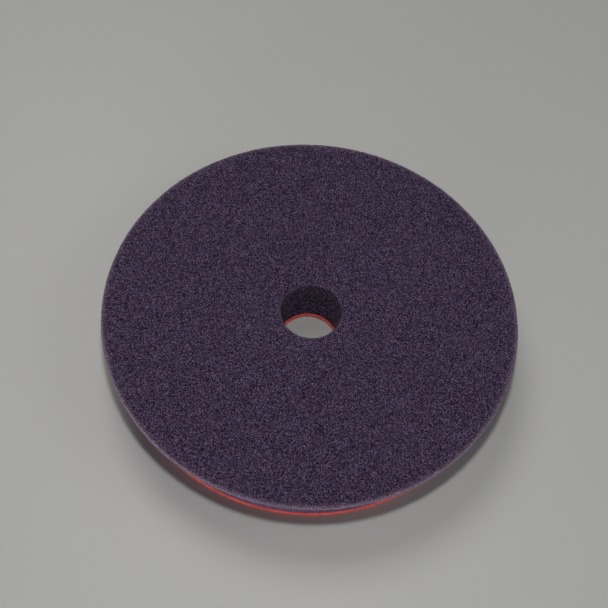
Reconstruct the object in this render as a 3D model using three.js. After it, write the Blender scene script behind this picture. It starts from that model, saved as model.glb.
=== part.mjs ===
// Foam polishing pad for a random-orbital or rotary polisher, 150 mm class.
// A slant-sided open-cell foam disc with a centre hole, laminated by an adhesive
// film to a hook-and-loop (loop side) backing cloth. Millimetres, +Z up.
// Origin: centre of the backing's lower face, which lies on the backing plate.
import * as THREE from "three";

// Driving dimensions
const FACE_DIA = 150; // working face, across the sharp upper rim
const TOTAL_HEIGHT = 23.0; // loop face to working face
const FOAM_BASE_DIA = 137.7; // foam where it meets the backing
const FOAM_HOLE_DIA = 22; // centring and cooling hole through the foam
const RIM_RADIUS = 1.0; // softened upper outer corner
const HOLE_LIP_RADIUS = 0.7; // softened upper corner of the hole

const BACKING_DIA = 137.7; // loop cloth, for a 125 mm class backing plate
const BACKING_HOLE_DIA = 21.7; // punched slightly smaller than the foam hole
const BACKING_HEIGHT = 1.7; // knitted ground and loop pile together
const BACKING_EDGE = 0.35; // softened cut edge of the pile

const FILM_HEIGHT = 0.2; // hot-melt laminating film
const FILM_INSET = 0.4; // the film stops just inside both cut edges
const BOND_GAP = 0.05; // clearance between the laminated layers

const SEGMENTS = 96; // facets around the axis
const ARC_STEPS = 3; // facets on a softened corner

const FACE_R = FACE_DIA / 2;
const BASE_R = FOAM_BASE_DIA / 2;
const HOLE_R = FOAM_HOLE_DIA / 2;
const BACK_R = BACKING_DIA / 2;
const BACK_HOLE_R = BACKING_HOLE_DIA / 2;
const FILM_Z = BACKING_HEIGHT + BOND_GAP;
const FOAM_Z = FILM_Z + FILM_HEIGHT + BOND_GAP;

// Points of an arc in the (radius, height) plane, both ends included.
function arc(centreR, centreZ, radius, from, to, steps = ARC_STEPS) {
  return Array.from({ length: steps + 1 }, (_, i) => {
    const a = from + ((to - from) * i) / steps;
    return [centreR + radius * Math.cos(a), centreZ + radius * Math.sin(a)];
  });
}

// A ring-shaped solid: a closed (radius, height) outline turned about +Z.
function ring(name, outline, material) {
  const points = [...outline, outline[0]].map(
    ([r, z]) => new THREE.Vector2(r, z),
  );
  const mesh = new THREE.Mesh(
    new THREE.LatheGeometry(points, SEGMENTS),
    material,
  );
  mesh.name = name;
  mesh.rotation.x = Math.PI / 2; // the lathe turns about Y
  return mesh;
}

const foamMaterial = new THREE.MeshStandardMaterial({
  color: 0x3e3346,
  roughness: 0.95,
  metalness: 0,
});
const filmMaterial = new THREE.MeshStandardMaterial({
  color: 0x38222f,
  roughness: 0.55,
  metalness: 0,
});
const loopMaterial = new THREE.MeshStandardMaterial({
  color: 0xc23a34,
  roughness: 0.9,
  metalness: 0,
});

// The side wall leans outwards from the backing to the working face.
const wallSlant = -Math.atan2(FACE_R - BASE_R, TOTAL_HEIGHT - FOAM_Z);
const RIM_R = FACE_R - RIM_RADIUS;
const RIM_Z = TOTAL_HEIGHT - RIM_RADIUS;

const foam = ring(
  "foam_disc",
  [
    [HOLE_R, FOAM_Z],
    [BASE_R, FOAM_Z],
    ...arc(RIM_R, RIM_Z, RIM_RADIUS, wallSlant, 0, 1),
    ...arc(RIM_R, RIM_Z, RIM_RADIUS, 0, Math.PI / 2).slice(1),
    ...arc(
      HOLE_R + HOLE_LIP_RADIUS,
      TOTAL_HEIGHT - HOLE_LIP_RADIUS,
      HOLE_LIP_RADIUS,
      Math.PI / 2,
      Math.PI,
    ),
  ],
  foamMaterial,
);

const film = ring(
  "laminating_film",
  [
    [HOLE_R + FILM_INSET, FILM_Z],
    [BASE_R - FILM_INSET, FILM_Z],
    [BASE_R - FILM_INSET, FILM_Z + FILM_HEIGHT],
    [HOLE_R + FILM_INSET, FILM_Z + FILM_HEIGHT],
  ],
  filmMaterial,
);

const backing = ring(
  "loop_backing",
  [
    [BACK_HOLE_R + BACKING_EDGE, 0],
    [BACK_R - BACKING_EDGE, 0],
    [BACK_R, BACKING_EDGE],
    [BACK_R, BACKING_HEIGHT],
    [BACK_HOLE_R, BACKING_HEIGHT],
    [BACK_HOLE_R, BACKING_EDGE],
  ],
  loopMaterial,
);

const group = new THREE.Group();
group.name = "polishing_pad";
group.add(foam, film, backing);

export default group;
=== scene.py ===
"""A foam polishing pad, seen from above and in front.

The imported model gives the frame: the foam disc, the laminating film and the loop
backing. Each is replaced by a detailed piece built in the same place: an open-cell
foam body, an uneven adhesive line, and a knitted cloth with a pile of small loops.
Lengths are in millimetres until the meshes are made, which are in metres.
"""

import math

import bpy
import numpy as np
from mathutils import Matrix


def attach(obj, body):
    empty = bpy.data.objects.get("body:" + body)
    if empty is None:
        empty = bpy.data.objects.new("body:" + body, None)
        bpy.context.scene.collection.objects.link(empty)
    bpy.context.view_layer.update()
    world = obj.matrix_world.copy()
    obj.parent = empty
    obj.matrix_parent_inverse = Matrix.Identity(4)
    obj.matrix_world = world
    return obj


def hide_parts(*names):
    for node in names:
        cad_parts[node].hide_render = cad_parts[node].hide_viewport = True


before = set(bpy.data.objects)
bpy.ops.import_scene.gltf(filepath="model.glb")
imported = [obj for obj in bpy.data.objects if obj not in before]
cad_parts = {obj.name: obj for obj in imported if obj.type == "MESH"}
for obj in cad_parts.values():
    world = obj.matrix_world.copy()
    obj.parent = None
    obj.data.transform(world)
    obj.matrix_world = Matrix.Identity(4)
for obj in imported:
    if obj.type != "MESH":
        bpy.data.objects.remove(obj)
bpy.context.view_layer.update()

MM = 0.001
TAU = 2 * math.pi
UV_NAME = "OFBake"


# ---------------------------------------------------------------- the frame's sizes
def ring_sizes(node):
    """(inner radius, outer radius at the foot, outer radius, lowest z, highest z) of a CAD ring, in mm."""
    co = np.array([v.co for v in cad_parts[node].data.vertices], float) / MM
    r = np.hypot(co[:, 0], co[:, 1])
    low, high = co[:, 2].min(), co[:, 2].max()
    foot = r[co[:, 2] < low + 0.05]
    return r.min(), foot.max(), r.max(), low, high


FOAM_HOLE, FOAM_FOOT, FOAM_R, FOAM_Z0, FOAM_Z1 = ring_sizes("foam_disc")
FILM_HOLE, _, FILM_R, FILM_Z0, FILM_Z1 = ring_sizes("laminating_film")
CLOTH_HOLE, _, CLOTH_R, CLOTH_Z0, CLOTH_Z1 = ring_sizes("loop_backing")


# ---------------------------------------------------------------- repeatable noise
def hashed(ix, iy, iz, seed):
    """A number from 0 to 1 for each whole-number cell."""
    h = (ix * 374761393 + iy * 668265263 + iz * 1440662683 + seed * 974634777) & 0xFFFFFFFF
    h = ((h ^ (h >> 13)) * 1274126177) & 0xFFFFFFFF
    h = ((h ^ (h >> 16)) * 2246822519) & 0xFFFFFFFF
    return ((h ^ (h >> 15)) & 0xFFFFFF) / float(0x1000000)


def soft_noise(p, size, seed):
    """Smooth noise from 0 to 1 with blobs of about size."""
    q = p / size + 1000.0
    i = np.floor(q).astype(np.int64)
    f = q - i
    f = f * f * (3 - 2 * f)
    out = np.zeros(len(p))
    for dx in (0, 1):
        wx = f[:, 0] if dx else 1 - f[:, 0]
        for dy in (0, 1):
            wy = f[:, 1] if dy else 1 - f[:, 1]
            for dz in (0, 1):
                wz = f[:, 2] if dz else 1 - f[:, 2]
                out += wx * wy * wz * hashed(i[:, 0] + dx, i[:, 1] + dy, i[:, 2] + dz, seed)
    return out


def cell_noise(p, size, seed):
    """Distances to the nearest and second nearest of scattered points, in cell sizes."""
    q = p / size + 1000.0
    i = np.floor(q).astype(np.int64)
    first = np.full(len(p), 9.0)
    second = np.full(len(p), 9.0)
    for dx in (-1, 0, 1):
        for dy in (-1, 0, 1):
            for dz in (-1, 0, 1):
                c = i + np.array([dx, dy, dz])
                d = np.zeros(len(p))
                for k in range(3):
                    s = c[:, k] + hashed(c[:, 0], c[:, 1], c[:, 2], seed + 17 * k) - q[:, k]
                    d += s * s
                d = np.sqrt(d)
                second = np.where(d < first, first, np.minimum(second, d))
                first = np.minimum(first, d)
    return first, second


def smooth(x, a, b):
    t = np.clip((x - a) / (b - a), 0, 1)
    return t * t * (3 - 2 * t)


# ---------------------------------------------------------------- closed rings
class Outline:
    """A closed (radius, height) outline as rings of points, each with its normal, spacing and zone."""

    def __init__(self):
        self.rows = []

    def line(self, start, end, spacing, zone, ends=(True, False)):
        """Rings along a straight stretch. spacing is a number or a function of the share along it."""
        (r0, z0), (r1, z1) = start, end
        long = math.hypot(r1 - r0, z1 - z0)
        tr, tz = (r1 - r0) / long, (z1 - z0) / long
        at, places = 0.0, []
        size = spacing if callable(spacing) else (lambda u: spacing)
        while at < long:
            places.append(at)
            at += 0.87 * size(min(1.0, at / long))
        scale = long / at
        places = [x * scale for x in places]
        if not ends[0]:
            places = places[1:]
        if ends[1]:
            places.append(long)
        for x in places:
            u = x / long
            self.rows.append((r0 + tr * x, z0 + tz * x, tz, -tr, size(u), zone))
        return self

    def arc(self, centre, radius, a0, a1, spacing, zone):
        """Rings round a corner, both ends included."""
        steps = max(2, int(math.ceil(abs(a1 - a0) * radius / (0.87 * spacing))))
        for k in range(steps + 1):
            a = a0 + (a1 - a0) * k / steps
            n = (math.cos(a), math.sin(a))
            self.rows.append((centre[0] + radius * n[0], centre[1] + radius * n[1], n[0], n[1], spacing, zone))
        return self

    def build(self, seed, jitter=0.2):
        """Points, normals, angles, along-outline lengths, ring numbers, zones, and the triangles that close them."""
        rng = np.random.default_rng(seed)
        rows = self.rows
        rz = np.array([[a, b] for a, b, *_ in rows])
        step = np.hypot(*(np.roll(rz, -1, 0) - rz).T)
        along = np.r_[0, np.cumsum(step)[:-1]]
        pts, nrm, ang, alo, num, starts = [], [], [], [], [], []
        total = 0
        for k, (r, z, nr, nz, s, zone) in enumerate(rows):
            n = max(12, int(round(TAU * r / s)))
            gap = TAU / n
            a = (np.arange(n) + rng.random() + rng.uniform(-jitter, jitter, n)) * gap
            a = np.sort(np.mod(a, TAU))
            near = min(step[k], step[k - 1])
            t = rng.uniform(-jitter, jitter, n) * near * (0 if zone.endswith("edge") else 1)
            tr, tz = -nz, nr
            rr, zz = r + tr * t, z + tz * t
            pts.append(np.c_[rr * np.cos(a), rr * np.sin(a), zz])
            nrm.append(np.c_[nr * np.cos(a), nr * np.sin(a), np.full(n, nz)])
            ang.append(a)
            alo.append(along[k] + t)
            num.append(np.full(n, k))
            starts.append(total)
            total += n
        tris, zone_of = [], []
        for k in range(len(rows)):
            j = (k + 1) % len(rows)
            a, b = ang[k], ang[j]
            na, nb = len(a), len(b)
            ma = (a + np.r_[a[1:], a[:1] + TAU]) / 2
            mb = (b + np.r_[b[1:], b[:1] + TAU]) / 2
            to_b = (np.searchsorted(np.r_[mb - TAU, mb, mb + TAU], ma) - nb) % nb
            to_a = (np.searchsorted(np.r_[ma - TAU, ma, ma + TAU], mb) - na) % na
            ia, ib = np.arange(na), np.arange(nb)
            tris.append(np.c_[starts[k] + ia, starts[k] + (ia + 1) % na, starts[j] + to_b])
            tris.append(np.c_[starts[j] + (ib + 1) % nb, starts[j] + ib, starts[k] + to_a])
            zone_of.append(np.full(na + nb, k))
        tris = np.concatenate(tris)
        p = np.concatenate(pts)
        x, y, z = p[tris[:, 0]], p[tris[:, 1]], p[tris[:, 2]]
        if (x * np.cross(y, z)).sum() < 0:
            tris = tris[:, ::-1]
        return {
            "p": p,
            "n": np.concatenate(nrm),
            "a": np.concatenate(ang),
            "s": np.concatenate(alo),
            "ring": np.concatenate(num),
            "tris": tris,
            "between": np.concatenate(zone_of),
            "rows": rows,
            "along": along,
        }


def make_mesh(name, points_mm, tris, uv=None, attributes=None):
    me = bpy.data.meshes.new(name)
    me.vertices.add(len(points_mm))
    me.vertices.foreach_set("co", (points_mm * MM).astype(np.float32).ravel())
    me.loops.add(3 * len(tris))
    me.loops.foreach_set("vertex_index", tris.astype(np.int32).ravel())
    me.polygons.add(len(tris))
    me.polygons.foreach_set("loop_start", np.arange(0, 3 * len(tris), 3, dtype=np.int32))
    me.polygons.foreach_set("use_smooth", np.ones(len(tris), bool))
    me.update(calc_edges=True)
    me.validate()
    if uv is not None:
        layer = me.uv_layers.new(name=UV_NAME)
        layer.uv.foreach_set("vector", uv.astype(np.float32).ravel())
    for key, values in (attributes or {}).items():
        me.attributes.new(key, "FLOAT", "POINT").data.foreach_set("value", values.astype(np.float32))
    ob = bpy.data.objects.new(name, me)
    bpy.context.scene.collection.objects.link(ob)
    return ob


def near_angle(a, reference):
    """a moved by whole turns to within half a turn of reference."""
    return a + np.round((reference - a) / TAU) * TAU


# ---------------------------------------------------------------- node helpers
class Nodes:
    """Short ways to lay out a material's node tree."""

    def __init__(self, name):
        self.mat = bpy.data.materials.new(name)
        self.mat.use_nodes = True
        self.nt = self.mat.node_tree
        self.bsdf = self.nt.nodes["Principled BSDF"]
        coord = self.nt.nodes.new("ShaderNodeTexCoord")
        self.p = self.vec("SCALE", coord.outputs["Object"], scale=1 / MM)

    def put(self, socket, value):
        if isinstance(value, bpy.types.NodeSocket):
            self.nt.links.new(value, socket)
        elif value is not None:
            socket.default_value = value

    def vec(self, op, a, b=None, scale=None):
        n = self.nt.nodes.new("ShaderNodeVectorMath")
        n.operation = op
        self.put(n.inputs[0], a)
        if b is not None:
            self.put(n.inputs[1], b)
        if scale is not None:
            self.put(n.inputs["Scale"], scale)
        return n.outputs["Value"] if op in ("LENGTH", "DOT_PRODUCT", "DISTANCE") else n.outputs["Vector"]

    def maths(self, op, a, b=None, c=None, clamp=False):
        n = self.nt.nodes.new("ShaderNodeMath")
        n.operation, n.use_clamp = op, clamp
        for i, v in enumerate((a, b, c)):
            if v is not None:
                self.put(n.inputs[i], v)
        return n.outputs[0]

    def noise(self, scale, detail=2.0, rough=0.5, vector=None, distortion=0.0, colour=False):
        n = self.nt.nodes.new("ShaderNodeTexNoise")
        self.put(n.inputs["Vector"], self.p if vector is None else vector)
        n.inputs["Scale"].default_value = scale
        n.inputs["Detail"].default_value = detail
        n.inputs["Roughness"].default_value = rough
        n.inputs["Distortion"].default_value = distortion
        return n.outputs["Color" if colour else "Fac"]

    def cells(self, scale, feature="DISTANCE_TO_EDGE", vector=None, randomness=1.0, output="Distance"):
        n = self.nt.nodes.new("ShaderNodeTexVoronoi")
        n.feature = feature
        self.put(n.inputs["Vector"], self.p if vector is None else vector)
        n.inputs["Scale"].default_value = scale
        n.inputs["Randomness"].default_value = randomness
        return n.outputs[output]

    def ramp(self, value, a, b, to_a=0.0, to_b=1.0, kind="SMOOTHSTEP"):
        n = self.nt.nodes.new("ShaderNodeMapRange")
        n.interpolation_type = kind
        self.put(n.inputs["Value"], value)
        for i, v in zip((1, 2, 3, 4), (a, b, to_a, to_b)):
            n.inputs[i].default_value = v
        return n.outputs["Result"]

    def mix(self, share, a, b, kind="MIX"):
        n = self.nt.nodes.new("ShaderNodeMix")
        n.data_type, n.blend_type, n.clamp_factor = "RGBA", kind, True
        self.put(n.inputs[0], share)
        self.put(n.inputs[6], (*a, 1.0) if isinstance(a, tuple) else a)
        self.put(n.inputs[7], (*b, 1.0) if isinstance(b, tuple) else b)
        return n.outputs[2]

    def colours(self, value, *stops):
        n = self.nt.nodes.new("ShaderNodeValToRGB")
        self.put(n.inputs[0], value)
        e = n.color_ramp.elements
        while len(e) < len(stops):
            e.new(0.5)
        for k, (at, colour) in enumerate(stops):
            e[k].position, e[k].color = at, (*colour, 1.0)
        return n.outputs["Color"]

    def attribute(self, name):
        n = self.nt.nodes.new("ShaderNodeAttribute")
        n.attribute_name = name
        return n.outputs["Fac"]

    def split(self, vector):
        n = self.nt.nodes.new("ShaderNodeSeparateXYZ")
        self.put(n.inputs[0], vector)
        return n.outputs

    def bump(self, height, distance, strength=1.0, normal=None):
        n = self.nt.nodes.new("ShaderNodeBump")
        n.inputs["Strength"].default_value = strength
        n.inputs["Distance"].default_value = distance
        self.put(n.inputs["Height"], height)
        if normal is not None:
            self.put(n.inputs["Normal"], normal)
        return n.outputs["Normal"]

    def set(self, **values):
        for key, v in values.items():
            self.put(self.bsdf.inputs[key.replace("_", " ")], v)


# ---------------------------------------------------------------- the foam body
RIM = 1.0  # softened upper corner
LIP = 0.65  # softened corner of the hole
FOOT = 0.3

lean = math.atan2(FOAM_R - FOAM_FOOT, FOAM_Z1 - FOAM_Z0)  # the side wall's slant
rim_r, rim_z = FOAM_R - RIM, FOAM_Z1 - RIM
foot_r = FOAM_FOOT - FOOT - 0.08
foot_z = FOAM_Z0 + FOOT


def top_spacing(u):
    """Finer near the hole and the rim, where the outline shows."""
    edge = min(u, 1 - u) * (rim_r - FOAM_HOLE - LIP)
    return 0.43 + 0.225 * float(smooth(np.array(edge), 0.5, 5.0))


foam_outline = (
    Outline()
    .line((FOAM_HOLE, FOAM_Z0 + 0.1), (FOAM_HOLE, FOAM_Z1 - LIP), 0.5, "hole", (True, False))
    .arc((FOAM_HOLE + LIP, FOAM_Z1 - LIP), LIP, math.pi, math.pi / 2, 0.34, "top")
    .line((FOAM_HOLE + LIP, FOAM_Z1), (rim_r, FOAM_Z1), top_spacing, "top", (False, False))
    .arc((rim_r, rim_z), RIM, math.pi / 2, -lean, 0.36, "top")
    .line(
        (rim_r + RIM * math.cos(lean), rim_z - RIM * math.sin(lean)),
        (foot_r + FOOT * math.cos(lean), foot_z - FOOT * math.sin(lean)),
        lambda u: 0.43 + 0.205 * float(smooth(np.array(u), 0.0, 0.15)),
        "wall",
        (False, False),
    )
    .arc((foot_r, foot_z), FOOT, -lean, -math.pi / 2, 0.4, "wall")
    .line((foot_r, FOAM_Z0), (FOAM_HOLE, FOAM_Z0), lambda u: 0.8 + 3.0 * float(smooth(np.array(min(u, 1 - u)), 0, 0.1)), "base", (False, False))
)
foam = foam_outline.build(seed=11)


def foam_relief(p):
    """How far the foam's skin lies outside its plain outline, in mm, and how deep in a pore each point is, from 0 to 1."""
    near, far = cell_noise(p, 0.95, 5)
    pore = smooth(near, 0.6, 0.15)
    fine = soft_noise(p, 0.42, 9) - 0.5
    swell = soft_noise(p, 9.0, 21) - 0.5 + 0.5 * (soft_noise(p, 3.2, 23) - 0.5)
    return 0.04 - 0.08 * pore + 0.10 * fine + 0.08 * swell, np.clip(0.5 * pore - 0.9 * fine + 0.2, 0, 1)


relief, pit = foam_relief(foam["p"])
r_all = np.hypot(foam["p"][:, 0], foam["p"][:, 1])
corner = np.exp(-(((r_all - FOAM_R) / 1.1) ** 2) - (((foam["p"][:, 2] - FOAM_Z1) / 1.1) ** 2))
corner += np.exp(-(((r_all - FOAM_HOLE) / 0.8) ** 2) - (((foam["p"][:, 2] - FOAM_Z1) / 0.8) ** 2))
relief = relief * (1 + 0.5 * corner) + 0.14 * np.exp(-(((r_all - FOAM_R) / 1.4) ** 2) - (((foam["p"][:, 2] - FOAM_Z1) / 1.6) ** 2))
under = smooth(foam["p"][:, 2], FOAM_Z0 + 0.5, FOAM_Z0 + 0.05)
relief = relief * (1 - 0.85 * under)
foam_points = foam["p"] + foam["n"] * relief[:, None]
foam_points[:, 2] = np.maximum(foam_points[:, 2], FOAM_Z0 - 0.02)
punched = np.exp(-(((r_all - FOAM_HOLE) / 2.0) ** 2)) * (foam["p"][:, 2] - FOAM_Z0) / (FOAM_Z1 - FOAM_Z0)
foam_points[:, :2] += punched[:, None] * (0.10 * foam["p"][:, :2] / r_all[:, None] + [0.15, 0.52])  # the punch leaned a little


def ring_uv(made, side, places, zones):
    """UVs for each triangle's corners in a square of side mm. places maps a zone to how it is laid out: a disc, or strips."""
    tris, rows, along = made["tris"], made["rows"], made["along"]
    zone_names = [zones(k, rows) for k in range(len(rows))]
    a = made["a"][tris]
    s = made["s"][tris]
    total = along[-1] + math.hypot(rows[0][0] - rows[-1][0], rows[0][1] - rows[-1][1])
    between = made["between"]
    # a triangle of the closing gap has corners at both ends of the outline
    last = between == len(rows) - 1
    s = np.where(last[:, None] & (s < total / 2), s + total, s)
    centre = np.arctan2(np.sin(a).sum(1), np.cos(a).sum(1)) % TAU
    a = near_angle(a, centre[:, None])
    uv = np.zeros((*a.shape, 2))
    names = np.array(zone_names)[between]
    for zone, (kind, *how) in places.items():
        m = names == zone
        first = min(along[k] for k in range(len(rows)) if zone_names[k] == zone)
        if kind == "disc":
            cx, cy, radius0, sign, scale = how
            rr = (radius0 + sign * (s[m] - first)) * scale
            uv[m, :, 0] = cx + rr * np.cos(a[m])
            uv[m, :, 1] = cy + rr * np.sin(a[m]) * sign
        else:
            radius, strips = how
            n = len(strips)
            which = np.minimum((centre[m] / TAU * n).astype(int), n - 1)
            across = (a[m] - (which / n * TAU)[:, None]) * radius
            up = s[m] - first
            for w, (x, y, turned) in enumerate(strips):
                k = which == w
                idx = np.flatnonzero(m)[k]
                if turned:
                    uv[idx, :, 0], uv[idx, :, 1] = x + up[k], y + 1.0 + across[k]
                else:
                    uv[idx, :, 0], uv[idx, :, 1] = x + 1.0 + across[k], y + up[k]
    return (uv / side).reshape(-1, 2)


def zone_at(k, rows):
    return rows[k][5]


FOAM_SHEET = 200.0
foam_uv = ring_uv(
    foam,
    FOAM_SHEET,
    {
        "hole": ("strips", FOAM_HOLE, [(0.5, 23.0, False)]),
        "top": ("disc", 77.5, 122.0, FOAM_HOLE, 1, 1.0),
        "wall": ("strips", 71.7, [(155.0, 44.0, True), (177.7, 44.0, True), (0.5, 0.5, False)]),
        "base": ("disc", 100.0, 33.0, 69.0, -1, 0.14),
    },
    zone_at,
)
foam_pad = make_mesh("foam_pad", foam_points, foam["tris"], foam_uv, {"pit": pit})


CELLS = 4.8  # cells per mm


def foam_material():
    m = Nodes("foam_open_cell")
    xyz = m.split(m.p)
    flat = m.nt.nodes.new("ShaderNodeCombineXYZ")
    m.put(flat.inputs[0], xyz[0])
    m.put(flat.inputs[1], xyz[1])
    r = m.vec("LENGTH", flat.outputs[0])
    z = xyz[2]

    # the cells: light bent walls round pores that are cut open to different depths; the darkness of the pores and of
    # the deeper cells is painted shade
    bend = m.vec("SCALE", m.vec("SUBTRACT", m.noise(2.2, 1.0, colour=True), (0.5, 0.5, 0.5)), scale=0.30)
    q = m.vec("ADD", m.p, bend)
    strut = m.ramp(m.cells(CELLS, vector=q), 0.0, 0.16, 1, 0)
    fine = m.split(m.cells(CELLS, "F1", vector=q, output="Color"))[0]  # how deep each cell is cut open
    grain = m.noise(4.6, 1.0, 0.5)
    pore_pit_shade = m.attribute("pit")
    light = m.maths("ADD", m.maths("MULTIPLY", strut, 0.25), m.maths("MULTIPLY", fine, 1.57))
    light = m.maths("ADD", light, m.maths("MULTIPLY", m.maths("SUBTRACT", grain, 0.5), 0.42))
    # painted shade: points deep in a pore of the mesh are darkened a little
    light = m.maths("SUBTRACT", light, m.maths("MULTIPLY", pore_pit_shade, 0.05))
    light = m.maths("SUBTRACT", light, 0.655, clamp=True)

    colour = m.colours(
        light,
        (0.0, (0.0095, 0.004, 0.0135)),
        (0.30, (0.0334, 0.0169, 0.0467)),
        (0.62, (0.0905, 0.0562, 0.1175)),
        (1.0, (0.28, 0.218, 0.342)),
    )
    # slow changes of hue and depth across the slab
    slow = m.noise(0.22, 3.0, 0.6)
    colour = m.mix(m.ramp(slow, 0.35, 0.65), m.mix(1.0, colour, (1.04, 0.96, 0.98), "MULTIPLY"), m.mix(1.0, colour, (0.97, 1.01, 1.05), "MULTIPLY"))
    # paler cut cells along the outer upper corner, plus a painted highlight where the rounded edge catches light
    rim = m.maths("MULTIPLY", m.ramp(r, FOAM_R - 2.6, FOAM_R - 0.1, kind="LINEAR"), m.ramp(z, FOAM_Z1 - 1.5, FOAM_Z1 - 0.6))
    rim = m.maths("POWER", rim, 2.8)
    torn_edge_and_highlight = rim
    mouth = m.maths("MULTIPLY", m.ramp(r, FOAM_HOLE + 1.1, FOAM_HOLE + 0.25, 0, 1), m.ramp(z, FOAM_Z1 - 1.4, FOAM_Z1 - 0.4))
    colour = m.mix(torn_edge_and_highlight, colour, m.mix(1.0, colour, (1.6, 1.46, 1.38), "MULTIPLY"))
    colour = m.mix(m.maths("MULTIPLY", torn_edge_and_highlight, 0.42), colour, (0.150, 0.104, 0.144))
    # cut walls are painted paler: the hole's wall gets a painted pool of light with the coarser contrast of its
    # cut-open cells, fading with depth as painted shade; the outer side wall below the rim is painted lighter as
    # painted light
    cut = m.maths("MULTIPLY", m.ramp(r, FOAM_HOLE + 1.2, FOAM_HOLE + 0.5), m.ramp(z, FOAM_Z1 - 0.2, FOAM_Z1 - 0.7))
    # painted shade: the hole's wall darkens from its top downwards
    deep = m.ramp(z, FOAM_Z1 - 1.0, FOAM_Z1 - 12.0, 1.10, 0.90)
    side = m.maths("MULTIPLY", m.ramp(r, FOAM_FOOT - 2.0, FOAM_FOOT - 1.5), m.ramp(z, FOAM_Z1 - 0.7, FOAM_Z1 - 1.4))
    torn_cells_and_light = m.vec("SCALE", m.mix(1.0, colour, (1.0, 1.05, 0.98), "MULTIPLY"), scale=m.ramp(m.maths("ADD", fine, m.maths("MULTIPLY", grain, 0.6)), 0.5, 1.35, 0.5, 2.25, "LINEAR"))
    torn_cells_and_light = m.vec("SCALE", torn_cells_and_light, scale=deep)
    # painted shade: the lip of the hole is darkened
    colour = m.mix(m.maths("MULTIPLY", mouth, 0.8), colour, m.mix(1.0, colour, (0.72, 0.70, 0.72), "MULTIPLY"))
    colour = m.mix(m.maths("MULTIPLY", cut, 0.9), colour, torn_cells_and_light)
    colour = m.mix(m.maths("MULTIPLY", side, 1.0), colour, m.mix(1.0, colour, (1.55, 1.42, 1.32), "MULTIPLY"))
    # a few pale specks of lint
    speck = m.ramp(m.cells(0.23, "F1", vector=m.vec("ADD", m.p, (11.0, 5.0, 2.0))), 0.05, 0.028, 0, 1)
    colour = m.mix(m.maths("MULTIPLY", speck, 0.7), colour, (0.19, 0.20, 0.23))

    height = m.maths("ADD", m.maths("MULTIPLY", strut, 0.7), m.maths("ADD", m.maths("MULTIPLY", fine, 0.3), m.maths("MULTIPLY", grain, 0.4)))
    m.set(
        Base_Color=colour,
        Roughness=m.ramp(light, 0.0, 1.0, 1.0, 0.82, "LINEAR"),
        Specular_IOR_Level=0.1,
        Sheen_Weight=m.maths("ADD", m.ramp(torn_edge_and_highlight, 0.0, 1.0, 0.02, 0.45, "LINEAR"), m.maths("MULTIPLY", mouth, 0.2)),
        Sheen_Roughness=0.5,
        Sheen_Tint=(0.80, 0.70, 0.80, 1.0),
        Normal=m.bump(height, 0.00020, 0.8),
    )
    return m.mat


foam_pad.data.materials.append(foam_material())
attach(foam_pad, "root")
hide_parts("foam_disc")


# ---------------------------------------------------------------- the adhesive line
FILM_OUT, FILM_IN = FOAM_FOOT - 0.3, FOAM_HOLE + 0.15
z0, z1 = CLOTH_Z1 - 0.03, FOAM_Z0 + 0.05
half = (z1 - z0) / 2
film_outline = (
    Outline()
    .arc((FILM_OUT - half, z0 + half), half, -math.pi / 2, math.pi / 2, 0.22, "outer")
    .line((FILM_OUT - half, z1), (FILM_IN + half, z1), lambda u: 0.6 + 4.0 * float(smooth(np.array(min(u, 1 - u)), 0, 0.1)), "over", (False, False))
    .arc((FILM_IN + half, z0 + half), half, math.pi / 2, 3 * math.pi / 2, 0.22, "inner")
    .line((FILM_IN + half, z0), (FILM_OUT - half, z0), lambda u: 0.6 + 4.0 * float(smooth(np.array(min(u, 1 - u)), 0, 0.1)), "below", (False, False))
)
film = film_outline.build(seed=12, jitter=0.1)
wave = soft_noise(film["p"] * [1, 1, 0.1], 2.4, 31) - 0.5 + 0.6 * (soft_noise(film["p"], 0.8, 33) - 0.5)
film_points = film["p"].copy()
outward = np.sign(np.hypot(film["p"][:, 0], film["p"][:, 1]) - 40)
radial = np.c_[np.cos(film["a"]), np.sin(film["a"]), np.zeros(len(film["a"]))]
film_points += radial * (0.16 * wave * outward)[:, None] * np.isin([film["rows"][k][5] for k in film["ring"]], ["outer", "inner"])[:, None]
film_uv = ring_uv(
    film,
    150.0,
    {
        "outer": ("strips", FILM_OUT, [(1.0, 140.0, False), (1.0, 143.0, False), (1.0, 146.0, False)]),
        "over": ("disc", 30.0, 100.0, FILM_OUT, -1, 0.4),
        "inner": ("strips", FILM_IN, [(1.0, 136.5, False)]),
        "below": ("disc", 90.0, 70.0, FILM_IN, 1, 0.8),
    },
    zone_at,
)
bond_line = make_mesh("bond_line", film_points, film["tris"], film_uv)


def film_material():
    m = Nodes("laminating_adhesive")
    blotch = m.noise(0.9, 3.0, 0.6)
    colour = m.colours(blotch, (0.25, (0.022, 0.012, 0.020)), (0.75, (0.060, 0.026, 0.036)))
    m.set(
        Base_Color=colour,
        Roughness=m.ramp(m.noise(2.0, 2.0), 0.3, 0.7, 0.35, 0.6),
        Normal=m.bump(m.noise(3.0, 3.0), 0.00012, 0.6),
    )
    return m.mat


bond_line.data.materials.append(film_material())
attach(bond_line, "root")
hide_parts("laminating_film")


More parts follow.
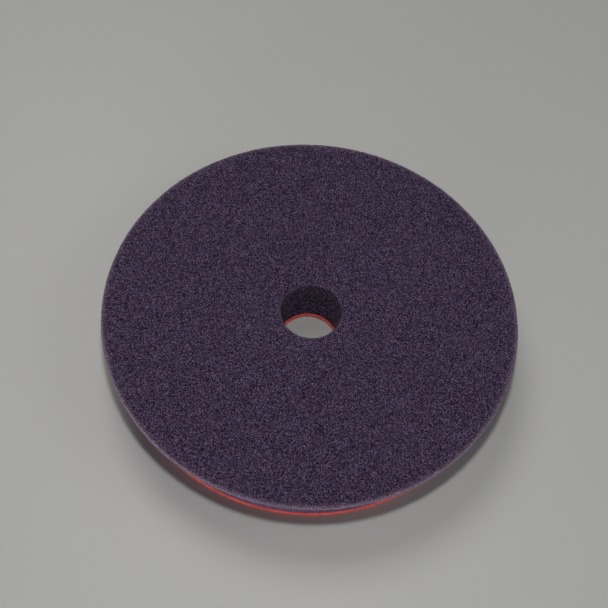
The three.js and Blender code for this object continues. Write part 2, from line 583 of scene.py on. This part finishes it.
# ---------------------------------------------------------------- the loop cloth
EDGE = 0.45
PILE_Z = 0.42  # mean height of the matted pile above the floor
cloth_outline = (
    Outline()
    .line((CLOTH_R - 0.27, CLOTH_Z1), (CLOTH_R - 0.15, CLOTH_Z1 - 0.12), 0.12, "outer", (True, False))
    .line((CLOTH_R - 0.15, CLOTH_Z1 - 0.12), (CLOTH_R - 0.17, PILE_Z + EDGE), 0.3, "outer", (True, False))
    .arc((CLOTH_R - 0.17 - EDGE, PILE_Z + EDGE), EDGE, 0, -math.pi / 2, 0.3, "outer")
    .line((CLOTH_R - 0.17 - EDGE, PILE_Z), (CLOTH_HOLE + EDGE, PILE_Z), 0.55, "face", (False, False))
    .arc((CLOTH_HOLE + EDGE, PILE_Z + EDGE), EDGE, -math.pi / 2, -math.pi, 0.3, "inner")
    .line((CLOTH_HOLE, PILE_Z + EDGE), (CLOTH_HOLE, CLOTH_Z1 - 0.05), 0.3, "inner", (False, False))
    .line((CLOTH_HOLE + 0.05, CLOTH_Z1), (CLOTH_R - 0.27, CLOTH_Z1), lambda u: 0.7 + 4.0 * float(smooth(np.array(min(u, 1 - u)), 0, 0.1)), "over", (True, False))
)
cloth = cloth_outline.build(seed=13)
cp = cloth["p"]
near, far = cell_noise(cp * [1, 1, 0.6], 1.0, 41)
tuft = smooth(near, 0.75, 0.1)
wale = 0.5 + 0.5 * np.cos(TAU * cp[:, 0] / 1.27 + 1.4 * (soft_noise(cp, 3.5, 47) - 0.5))
below = smooth(cp[:, 2], CLOTH_Z1 - 0.55, PILE_Z + 0.55)
cloth_relief = below * (0.24 * tuft + 0.12 * wale + 0.22 * (soft_noise(cp, 0.5, 43) - 0.5) + 0.10 * (soft_noise(cp, 6.0, 45) - 0.5) - 0.10)
knit = (1 - below) * (cp[:, 2] < CLOTH_Z1 - 0.02) * (0.05 * np.cos(TAU * cloth["a"] * CLOTH_R / 0.9) + 0.08 * (soft_noise(cp, 0.5, 49) - 0.5) - 0.03)
cloth_points = cp + cloth["n"] * (cloth_relief + knit)[:, None]
cloth_points[:, 2] = np.clip(cloth_points[:, 2], 0.015, CLOTH_Z1)
CLOTH_SHEET = 152.0
cloth_uv = ring_uv(
    cloth,
    CLOTH_SHEET,
    {
        "outer": ("strips", CLOTH_R, [(1.0, 140.5, False), (1.0, 144.2, False), (1.0, 147.9, False)]),
        "face": ("disc", 69.5, 70.0, CLOTH_R - 0.5, -1, 1.0),
        "inner": ("strips", CLOTH_HOLE, [(141.0, 2.0, True)]),
        "over": ("disc", 142.0, 130.0, CLOTH_HOLE, 1, 0.12),
    },
    zone_at,
)
# the tuft value drives the cloth's colour: lower between the raised tufts and wales and on the knitted ground above the
# pile, so those are painted darker as painted shade
loop_cloth = make_mesh("loop_cloth", cloth_points, cloth["tris"], cloth_uv, {"tuft": np.clip(0.5 * tuft + 0.35 * wale + 0.3 * below, 0, 1)})


def red_cloth(name, value, low, high, spread=0.25):
    """Dyed nylon: value from 0, deep in the pile, to 1, at its tips; the darker colour deep in the pile is painted
    shade.
    """
    m = Nodes(name)
    shade = m.attribute(value)
    fibre = m.noise(5.0, 3.0, 0.65)
    t = m.maths("ADD", m.maths("MULTIPLY", shade, 0.75), m.maths("MULTIPLY", fibre, 0.5), clamp=True)
    colour = m.colours(t, (0.15, low), (0.9, high))
    slow = m.noise(0.15, 2.0)
    colour = m.mix(m.ramp(slow, 0.3, 0.7, 0.0, spread), colour, m.mix(1.0, colour, (0.82, 0.7, 0.7), "MULTIPLY"))
    # round the hole the pile is painted brighter as painted light, and its lowest part near the floor is painted dark
    # as a painted contact shadow
    xyz = m.split(m.p)
    flat = m.nt.nodes.new("ShaderNodeCombineXYZ")
    m.put(flat.inputs[0], xyz[0])
    m.put(flat.inputs[1], xyz[1])
    near_hole = m.ramp(m.vec("LENGTH", flat.outputs[0]), CLOTH_HOLE + 0.7, CLOTH_HOLE + 0.3)
    colour = m.mix(near_hole, colour, m.mix(1.0, colour, (1.1, 1.3, 1.25), "MULTIPLY"))
    colour = m.mix(m.maths("MULTIPLY", near_hole, m.ramp(xyz[2], 0.6, 0.3, 0.0, 0.85)), colour, (0.09, 0.018, 0.018))
    m.set(
        Base_Color=colour,
        Roughness=m.ramp(fibre, 0.3, 0.7, 0.95, 0.72),
        Specular_IOR_Level=0.35,
        Sheen_Weight=0.35,
        Sheen_Roughness=0.45,
        Sheen_Tint=(1.0, 0.55, 0.5, 1.0),
        Normal=m.bump(m.maths("ADD", fibre, m.noise(9.0, 2.0)), 0.00012, 0.7),
    )
    return m.mat


# RED_DEEP is the painted shade deep in the pile
RED_DEEP, RED_MID, RED_TIP = (0.40, 0.028, 0.023), (0.92, 0.105, 0.086), (0.97, 0.225, 0.18)
loop_cloth.data.materials.append(red_cloth("loop_cloth_red", "tuft", RED_DEEP, RED_MID))
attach(loop_cloth, "root")
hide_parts("loop_backing")


# ---------------------------------------------------------------- its pile of loops
def loops(name, base, up, side, height, width, lean_to, thick, seed, steps=5, sides=3):
    """One mesh of many small closed loops of yarn, each standing on base along up, spread along side."""
    rng = np.random.default_rng(seed)
    n = len(base)
    t = np.linspace(0, 1, steps + 1)
    # an arch that bulges near its top, as a brushed loop does
    x = -np.cos(math.pi * t) * (0.55 + 0.75 * np.sin(math.pi * t) ** 2 * 0.6)
    y = np.sin(math.pi * t) ** 0.75
    y[0] = y[-1] = -0.25
    path = (
        base[:, None]
        + side[:, None] * (width[:, None] * x[None])[..., None]
        + up[:, None] * (height[:, None] * y[None])[..., None]
        + lean_to[:, None] * (np.clip(y, 0, 1)[None, :, None])
    )
    path += rng.normal(0, 1, path.shape) * (thick * 0.55) * np.clip(y, 0, 1)[None, :, None]
    tangent = np.gradient(path, axis=1)
    tangent /= np.linalg.norm(tangent, axis=2, keepdims=True) + 1e-9
    flat = np.cross(side, up)[:, None] + 0 * path
    flat -= tangent * (flat * tangent).sum(2, keepdims=True)
    flat /= np.linalg.norm(flat, axis=2, keepdims=True) + 1e-9
    across = np.cross(tangent, flat)
    phi = np.arange(sides) / sides * TAU
    rad = thick * rng.uniform(0.7, 1.25, n)[:, None, None, None] * (0.85 + 0.3 * np.sin(math.pi * t))[None, :, None, None]
    ring = path[:, :, None] + rad * (np.cos(phi)[None, None, :, None] * flat[:, :, None] + np.sin(phi)[None, None, :, None] * across[:, :, None])
    pts = ring.reshape(-1, 3)
    pts[:, 2] = np.clip(pts[:, 2], 0.01, None)
    one, uvs = [], []
    at = lambda i, j: i * sides + j % sides
    for i in range(steps):
        for j in range(sides):
            a, b, c, d = at(i, j), at(i, j + 1), at(i + 1, j + 1), at(i + 1, j)
            one += [(a, b, c), (a, c, d)]
            u0, u1, v0, v1 = i / steps, (i + 1) / steps, j / sides, (j + 1) / sides
            uvs += [[(u0, v0), (u0, v1), (u1, v1)], [(u0, v0), (u1, v1), (u1, v0)]]
    for j in range(1, sides - 1):
        one += [(0, j + 1, j), (at(steps, 0), at(steps, j), at(steps, j + 1))]
        uvs += [[(0, 0), (0, 1), (0, 0.5)], [(1, 0), (1, 0.5), (1, 1)]]
    one, uvs = np.array(one), np.array(uvs)
    tris = (one[None] + (np.arange(n) * (steps + 1) * sides)[:, None, None]).reshape(-1, 3)
    a, b, c = pts[tris[:, 0]], pts[tris[:, 1]], pts[tris[:, 2]]
    mid = np.repeat(path.mean(1), len(one), axis=0)
    if ((a - mid) * np.cross(b - mid, c - mid)).sum() < 0:
        tris = tris[:, ::-1]
        uvs = uvs[:, ::-1]
    grid = int(math.ceil(math.sqrt(n)))
    cell = np.stack([np.arange(n) % grid, np.arange(n) // grid], 1)
    uv = (cell[:, None, None] + 0.12 + 0.76 * uvs[None]) / grid
    # the shade attribute: a random tone per loop, rising towards each loop's crown, so the lower pile is painted darker
    # as painted shade
    own = rng.uniform(0.0, 0.45, n)
    shade = np.repeat(own[:, None] + 0.55 * np.clip(y, 0, 1)[None], sides, axis=1).ravel()
    return make_mesh(name, pts, tris, uv.reshape(-1, 2), {"shade": np.clip(shade, 0, 1)})


def unit(v):
    return v / (np.linalg.norm(v, axis=1, keepdims=True) + 1e-12)


def edge_places(radius, count, outwards, seed, z_low, z_high):
    """Bases, directions and sides for loops that stand out of a cut edge."""
    rng = np.random.default_rng(seed)
    a = (np.arange(count) + rng.uniform(-0.4, 0.4, count)) / count * TAU
    z = rng.uniform(z_low, z_high, count)
    droop = rng.uniform(-0.15, 0.75, count) * smooth(z, z_high + 0.2, z_low)
    radial = np.c_[np.cos(a), np.sin(a), np.zeros(count)] * outwards
    up = unit(radial * np.cos(droop)[:, None] + np.array([0, 0, -1.0]) * np.sin(droop)[:, None])
    tangent = np.c_[-np.sin(a), np.cos(a), np.zeros(count)]
    tilt = rng.uniform(-1.2, 1.2, count)
    side = unit(tangent * np.cos(tilt)[:, None] + np.cross(up, tangent) * np.sin(tilt)[:, None])
    base = np.c_[radius * np.cos(a), radius * np.sin(a), z]
    return base, up, side, rng


parts = []
for radius, count, sign, seed in ((CLOTH_R - 0.28, 3100, 1, 51), (CLOTH_HOLE + 0.05, 430, -1, 52)):
    base, up, side, rng = edge_places(radius, count, sign, seed, 0.2, 1.88 if sign > 0 else 1.66)
    reach = rng.uniform(0.16, 0.38, count) + (0.42 if sign > 0 else 0.1) * smooth(base[:, 2], 1.3, 0.3) * rng.uniform(0.3, 1.0, count)
    parts.append((base, up, side, reach, rng.uniform(0.14, 0.32, count), rng.normal(0, 0.05, (count, 3))))
base, up, side, height, width, lean_to = (np.concatenate([p[k] for p in parts]) for k in range(6))
edge_loops = loops("edge_loops", base, up, side, height, width, lean_to, 0.055, 61)

rng = np.random.default_rng(71)
pitch_x, pitch_y = 1.31, 1.42
gx, gy = np.meshgrid(np.arange(-55, 56) * pitch_x, np.arange(-51, 52) * pitch_y)
spots = np.c_[gx.ravel(), gy.ravel()] + rng.uniform(-0.42, 0.42, (gx.size, 2))
spots[:, 1] += 0.5 * pitch_y * (np.arange(gx.size) % gx.shape[1] % 2)
rad = np.hypot(*spots.T)
spots = spots[(rad < CLOTH_R - 0.5) & (rad > CLOTH_HOLE + 0.5)]
n = len(spots)
turn = rng.normal(0.2, 0.7, n)
face_loops = loops(
    "face_loops",
    np.c_[spots, np.full(n, 0.42)],
    np.tile([0.0, 0.0, -1.0], (n, 1)),
    np.c_[np.cos(turn), np.sin(turn), np.zeros(n)],
    rng.uniform(0.24, 0.38, n),
    rng.uniform(0.28, 0.5, n),
    np.c_[rng.normal(0.05, 0.12, (n, 1)), rng.normal(0.18, 0.12, (n, 1)), np.zeros((n, 1))],
    0.07,
    62,
    steps=4,
)
yarn = red_cloth("loop_yarn_red", "shade", RED_MID, RED_TIP, 0.15)
for ob in (edge_loops, face_loops):
    ob.data.materials.append(yarn)
    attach(ob, "root")


# ---------------------------------------------------------------- floor, lights, camera
def plain_floor():
    me = bpy.data.meshes.new("floor")
    s = 4.0
    me.from_pydata([(-s, -s, 0), (s, -s, 0), (s, s, 0), (-s, s, 0)], [], [(0, 1, 2, 3)])
    ob = bpy.data.objects.new("floor", me)
    bpy.context.scene.collection.objects.link(ob)
    m = Nodes("pale_floor")
    cloud = m.noise(0.004, 3.0, 0.55)
    m.set(
        Base_Color=m.mix(cloud, (0.38, 0.38, 0.368), (0.42, 0.42, 0.412)),
        Roughness=0.5,
        Specular_IOR_Level=0.3,
    )
    me.materials.append(m.mat)


plain_floor()


def area_light(name, place, target, size, power, colour=(1, 1, 1), size_y=None):
    data = bpy.data.lights.new(name, "AREA")
    data.shape = "RECTANGLE" if size_y else "DISK"
    data.size = size
    if size_y:
        data.size_y = size_y
    data.energy, data.color = power, colour
    ob = bpy.data.objects.new(name, data)
    bpy.context.scene.collection.objects.link(ob)
    at, to = np.array(place, float), np.array(target, float)
    z = (at - to) / np.linalg.norm(at - to)
    x = np.cross([0, 0, 1.0], z)
    x /= np.linalg.norm(x)
    y = np.cross(z, x)
    ob.matrix_world = Matrix([[x[0], y[0], z[0], at[0]], [x[1], y[1], z[1], at[1]], [x[2], y[2], z[2], at[2]], [0, 0, 0, 1]])
    return ob


def from_sky(turn, rise, far):
    """A place that far from the pad, at an angle about +Z from +X and above the floor, in degrees."""
    a, b = math.radians(turn), math.radians(rise)
    return (far * math.cos(a) * math.cos(b), far * math.sin(a) * math.cos(b), far * math.sin(b))


area_light("key", from_sky(118, 58, 1.1), (0, 0, 0.01), 0.6, 4.4, (1.0, 0.985, 0.96))
area_light("fill", from_sky(355, 42, 1.1), (0, 0, 0.01), 0.6, 1.3, (1.0, 0.99, 0.97))
area_light("lamp", (-0.0065, -0.138, 0.530), (0, 0, 0.01), 0.045, 1.27, (1.0, 0.99, 0.98))
area_light("front", from_sky(262, 3.2, 1.1), (0, 0, 0.008), 0.7, 9.8, (0.98, 0.985, 1.0), 0.09)

world = bpy.data.worlds.new("studio")
bpy.context.scene.world = world
world.use_nodes = True
world.node_tree.nodes["Background"].inputs["Color"].default_value = (0.93, 0.95, 1.0, 1.0)
world.node_tree.nodes["Background"].inputs["Strength"].default_value = 0.095

camera_data = bpy.data.cameras.new("camera")
camera_data.sensor_width = 36.0
camera_data.lens = 75.083
camera_data.clip_start, camera_data.clip_end = 0.01, 20.0
camera = bpy.data.objects.new("camera", camera_data)
bpy.context.scene.collection.objects.link(camera)
camera.matrix_world = Matrix(
    [
        [0.9946628, -0.1030069, 0.0059614, 0.0],
        [0.0922571, 0.8620155, -0.4984153, -0.225709],
        [0.0462014, 0.4963052, 0.8669179, 0.420507],
        [0, 0, 0, 1],
    ]
)
bpy.context.scene.camera = camera
bpy.context.scene.view_settings.view_transform = "Standard"
